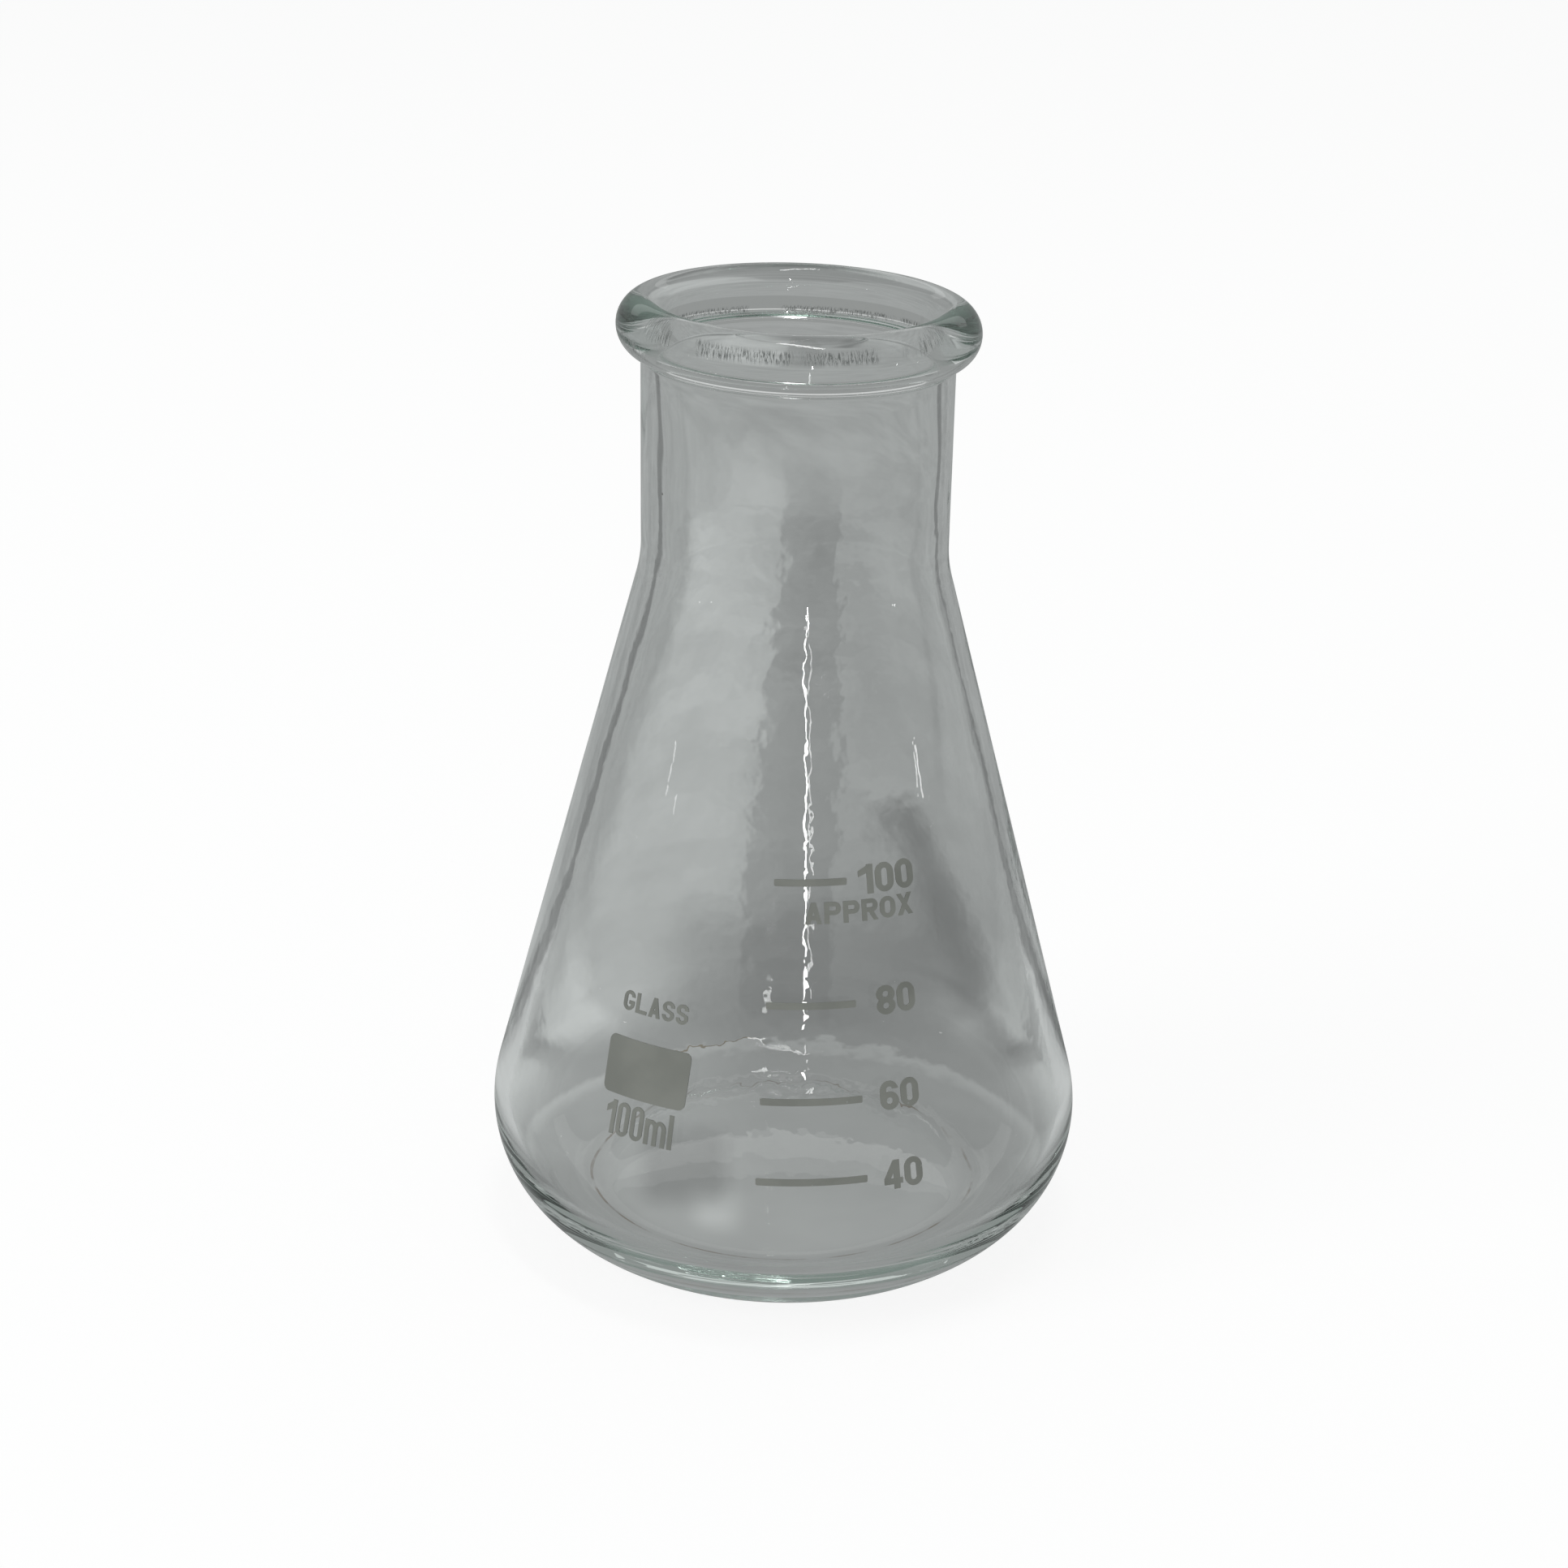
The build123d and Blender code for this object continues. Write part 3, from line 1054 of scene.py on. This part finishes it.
@dataclass(frozen=True)
class Viewpoint:
    """Where the camera stands and how it is held; angles are in degrees."""

    distance: float = 0.259
    height: float = 0.1506
    azimuth: float = -5.6
    tilt: float = 21.288
    swing: float = -0.1386
    roll: float = -1.127
    lens: float = 59.11
    sensor: float = 36.0
    near: float = 0.01

    def build(self) -> bpy.types.Object:
        """Make the scene's camera.

        Returns:
            The camera.
        """
        tilt, swing, roll = np.radians([self.tilt, self.swing, self.roll])
        ahead = Vector((np.sin(swing) * np.cos(tilt), np.cos(swing) * np.cos(tilt), -np.sin(tilt)))
        right = ahead.cross(Vector((0, 0, 1))).normalized()
        down = ahead.cross(right)
        side = right * float(np.cos(roll)) + down * float(np.sin(roll))
        under = down * float(np.cos(roll)) - right * float(np.sin(roll))
        held = Matrix((side, -under, -ahead)).transposed().to_4x4()
        turned = Matrix.Rotation(np.radians(self.azimuth), 4, "Z")
        camera = bpy.data.objects.new("camera", bpy.data.cameras.new("camera"))
        camera.data.lens = self.lens
        camera.data.sensor_width = self.sensor
        camera.data.clip_start = self.near
        moved = Matrix.Translation((0, -self.distance, self.height))
        camera.matrix_world = turned @ moved @ held
        bpy.context.scene.collection.objects.link(camera)
        bpy.context.scene.camera = camera
        return camera


@dataclass(frozen=True)
class SoftLamp:
    """One rectangular lamp that faces a point."""

    name: str
    place: tuple[float, float, float]
    size: Span
    radiance: float
    aim: tuple[float, float, float] = (0.0, 0.0, 0.05)
    seen: bool = True

    def build(self) -> bpy.types.Object:
        """Make the lamp. Its power is pi times its area times its radiance.

        Returns:
            The lamp.
        """
        data = bpy.data.lights.new(self.name, "AREA")
        data.shape = "RECTANGLE"
        data.size, data.size_y = self.size
        data.energy = float(np.pi) * self.size[0] * self.size[1] * self.radiance
        lamp = bpy.data.objects.new(self.name, data)
        lamp.location = self.place
        towards = Vector(self.aim) - Vector(self.place)
        lamp.rotation_euler = towards.to_track_quat("-Z", "Y").to_euler()
        lamp.visible_camera = False
        lamp.visible_glossy = lamp.visible_transmission = self.seen
        bpy.context.scene.collection.objects.link(lamp)
        return lamp


@dataclass(frozen=True)
class SoftShade:
    """A soft-edged tone on the floor, which only shows through the glass: painted shade where the
    tone is below 1 and painted light where it is above 1.

    It is a box in fan coordinates: across is the way sideways over the way forward from the
    fan's root in front of the flask, and away is the distance behind the flask's axis.
    """

    across: Span
    away: Span
    soft: Span
    tone: float
    shear: float = 0.0

    def apply(self, sheet: NodeSheet, tone: Socket, across: Socket, away: Socket) -> Socket:
        """Multiply a tone by this one inside the box.

        Args:
            sheet: the floor's sheet.
            tone: tone so far.
            across: fan coordinate sideways.
            away: fan coordinate backwards.

        Returns:
            The new tone's socket.
        """
        leaned = sheet.math("MULTIPLY_ADD", away, -self.shear, across)
        beside = sheet.between(leaned, self.across, self.soft[0])
        behind = sheet.between(away, self.away, self.soft[1])
        return sheet.toned(tone, sheet.product(beside, behind), self.tone)


@dataclass(frozen=True)
class SoftRing:
    """A tone on the floor round the flask, between a soft inner and a soft outer edge: painted
    shade where the tone is below 1 and painted light where it is above 1.
    """

    inner: Span
    outer: Span
    tone: float

    def apply(self, sheet: NodeSheet, tone: Socket, radius: Socket, share: object = 1.0) -> Socket:
        """Multiply a tone by this one inside the ring.

        Args:
            sheet: the floor's sheet.
            tone: tone so far.
            radius: distance from the flask's axis.
            share: mask for a part of the ring.

        Returns:
            The new tone's socket.
        """
        rise = sheet.fade(radius, *self.inner)
        fall = sheet.fade(radius, *self.outer, 1.0, 0.0)
        return sheet.toned(tone, sheet.product(rise, fall, share), self.tone)


@dataclass(frozen=True)
class SideShade:
    """A part of a ring at both sides of the flask, between two angles from straight behind: painted
    shade where its ring's tone is below 1 and painted light where it is above 1.
    """

    angle: Span
    soft: float
    ring: SoftRing

    def apply(self, sheet: NodeSheet, tone: Socket, angle: Socket, radius: Socket) -> Socket:
        """Multiply a tone by the ring's, between the angles.

        Args:
            sheet: the floor's sheet.
            tone: tone so far.
            angle: angle from straight behind, in degrees.
            radius: distance from the flask's axis.

        Returns:
            The new tone's socket.
        """
        beside = sheet.between(angle, self.angle, self.soft)
        return self.ring.apply(sheet, tone, radius, beside)


@dataclass
class Studio:
    """Pale floor, soft lamps and a plain grey room that only the glass sees."""

    fan_root: float = 0.258
    fan_start: float = 0.01
    facing: float = -5.6
    # Painted shade and painted light, seen only through the glass: a lighter patch at the left, a
    # dark band behind the middle, a darker right side, a painted shadow in a leaning wedge at the
    # right, a dark smudge behind the base, a dark patch under it and a small painted highlight
    # under it
    shades: tuple[SoftShade, ...] = (
        SoftShade((-0.14, -0.021), (0.02, 0.31), (0.05, 0.14), 1.34),
        SoftShade((-0.022, 0.020), (0.05, 0.31), (0.006, 0.08), 0.79),
        SoftShade((0.020, 0.20), (0.03, 0.29), (0.03, 0.12), 0.93),
        SoftShade((0.118, 0.148), (0.034, 0.122), (0.03, 0.012), 0.58, -0.66),
        SoftShade((-0.055, 0.085), (0.040, 0.082), (0.05, 0.035), 0.64),
        SoftShade((-0.060, -0.024), (-0.006, 0.010), (0.014, 0.008), 0.66),
        SoftShade((-0.038, -0.020), (-0.012, -0.003), (0.014, 0.007), 1.35),
    )
    # Painted shade and painted light at both sides, seen only through the glass: dark lines between
    # 42 and 49 degrees, and lighter strips between 30 and 41 and between 50 and 100 degrees
    side_shades: tuple[SideShade, ...] = (
        SideShade((42.0, 49.0), 3.0, SoftRing((40 * MM, 60 * MM), (2.0, 3.0), 0.5)),
        SideShade((30.0, 41.0), 5.0, SoftRing((40 * MM, 52 * MM), (90 * MM, 180 * MM), 1.32)),
        SideShade((50.0, 100.0), 14.0, SoftRing((32 * MM, 50 * MM), (110 * MM, 180 * MM), 1.5)),
    )
    # Painted shadow under the flask, seen only through the glass: a little darker inside the base,
    # darker towards the heel, and a painted contact shadow just outside the foot
    rings: tuple[SoftRing, ...] = (
        SoftRing((-2.0 * MM, -1.0 * MM), (20.0 * MM, 26.0 * MM), 0.92),
        SoftRing((18.0 * MM, 23.0 * MM), (31.0 * MM, 34.0 * MM), 0.80),
        SoftRing((34.0 * MM, 35.6 * MM), (39.0 * MM, 58.0 * MM), 0.76),
    )
    floor_size: float = 6.0
    floor_gap: float = 0.02 * MM
    cloud_scale: float = 22.0
    cloud_tones: Span = (0.88, 1.12)
    floor_white: float = 0.88
    floor_paper: float = 0.22
    through: Colour = (0.345, 0.357, 0.354)
    room: Colour = (0.29, 0.30, 0.296)
    lamps: tuple[SoftLamp, ...] = (
        SoftLamp("streak_lamp", (0.065, -1.198, 0.24), (0.022, 0.25), 36.0),
        SoftLamp("window_lamp", (-1.2, -0.5, 0.9), (0.7, 0.9), 2.2, seen=False),
        SoftLamp("ceiling_lamp", (0.06, -0.1, 1.5), (0.10, 0.6), 12.0),
        SoftLamp("right_glint", (1.137, -0.385, 0.113), (0.02, 0.030), 10.0, aim=(0.0, 0.0, 0.06)),
        SoftLamp("left_glint", (-1.162, -0.298, 0.133), (0.02, 0.022), 5.0, aim=(0.0, 0.0, 0.06)),
        SoftLamp("far_wall", (0.2, 2.0, 1.1), (3.0, 0.35), 0.4),
    )
    bounces: int = 64

    def floor_material(self) -> bpy.types.Material:
        """Build the floor: near white to look at, and a glowing grey where it is seen through
        glass, whose strength carries the painted shade and painted light of the shades and rings.

        Returns:
            The material.
        """
        material, sheet = new_material("pale_floor")
        point = sheet.add("TexCoord").outputs["Object"]
        cloud = sheet.add(
            "TexNoise", vector=point, scale=self.cloud_scale, detail=4.0, roughness=0.6
        )
        shade = sheet.fade(cloud.outputs[0], 0.25, 0.75, *self.cloud_tones)
        x, away, _ = sheet.add("SeparateXYZ", vector=point).outputs
        ahead = sheet.math("MAXIMUM", sheet.math("ADD", away, self.fan_root), self.fan_start)
        across = sheet.math("DIVIDE", x, ahead)
        for soft in self.shades:
            shade = soft.apply(sheet, shade, across, away)
        radius = RoundTheAxis().place(sheet, Point=point).outputs["Radius"]
        angle = sheet.math("DEGREES", sheet.math("ARCTAN2", sheet.math("ABSOLUTE", x), away))
        for beside in self.side_shades:
            shade = beside.apply(sheet, shade, angle, radius)
        for ring in self.rings:
            shade = ring.apply(sheet, shade, radius)
        # painted shade and painted light: the grey glows with the shades' and rings' tones as its
        # strength
        grey = sheet.add("Emission", color=self.through, strength=shade)
        paper = sheet.add("BsdfDiffuse", color=(self.floor_paper,) * 3)
        white = sheet.add("Emission", color=(self.floor_white,) * 3)
        pale = sheet.add("AddShader")
        sheet.feed(pale.inputs[0], paper.outputs[0])
        sheet.feed(pale.inputs[1], white.outputs[0])
        chosen = sheet.by_sight(pale.outputs[0], grey.outputs[0])
        sheet.add("OutputMaterial", surface=chosen)
        return material

    def build_floor(self) -> bpy.types.Object:
        """Lay the floor, a flat square just under the flask.

        Returns:
            The floor.
        """
        half = self.floor_size / 2
        corners = np.array([[-half, -half], [half, -half], [half, half], [-half, half]])
        points = np.column_stack([corners, np.full(4, -self.floor_gap)])
        floor = add_mesh("floor", points, [np.array([[0, 1, 2, 3]])])
        floor.data.materials.append(self.floor_material())
        floor.rotation_euler.z = np.radians(self.facing)
        return floor

    def build_room(self) -> None:
        """Set the world: white to look at, and grey for everything that the glass sees."""
        world = bpy.data.worlds.new("room")
        world.use_nodes = True
        world.node_tree.nodes.clear()
        sheet = NodeSheet(world.node_tree)
        grey = sheet.add("Background", color=self.room)
        white = sheet.add("Background", color=(1.0, 1.0, 1.0))
        sheet.add("OutputWorld", surface=sheet.by_sight(white.outputs[0], grey.outputs[0]))
        bpy.context.scene.world = world

    def build(self) -> None:
        """Lay the floor, set the room and hang the lamps."""
        self.build_floor()
        self.build_room()
        for lamp in self.lamps:
            lamp.build()
        scene = bpy.context.scene
        scene.view_settings.view_transform = "Standard"
        scene.cycles.max_bounces = self.bounces
        scene.cycles.glossy_bounces = self.bounces
        scene.cycles.transmission_bounces = self.bounces


def main() -> None:
    """Load the frame, build the scene round it and log the glass's face count and the dressed
    prints.
    """
    logging.basicConfig(level=logging.INFO, format="%(name)s: %(message)s")
    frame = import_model()
    Viewpoint().build()
    Studio().build()
    glassware = Glassware()
    glass = glassware.build()
    LOG.info("%s: %d faces", glass.name, len(glass.data.polygons))
    for name in FiredPrints().dress(frame["nodes"], glassware.node):
        LOG.info("%s: enamel", name)


if __name__ == "__main__":
    main()
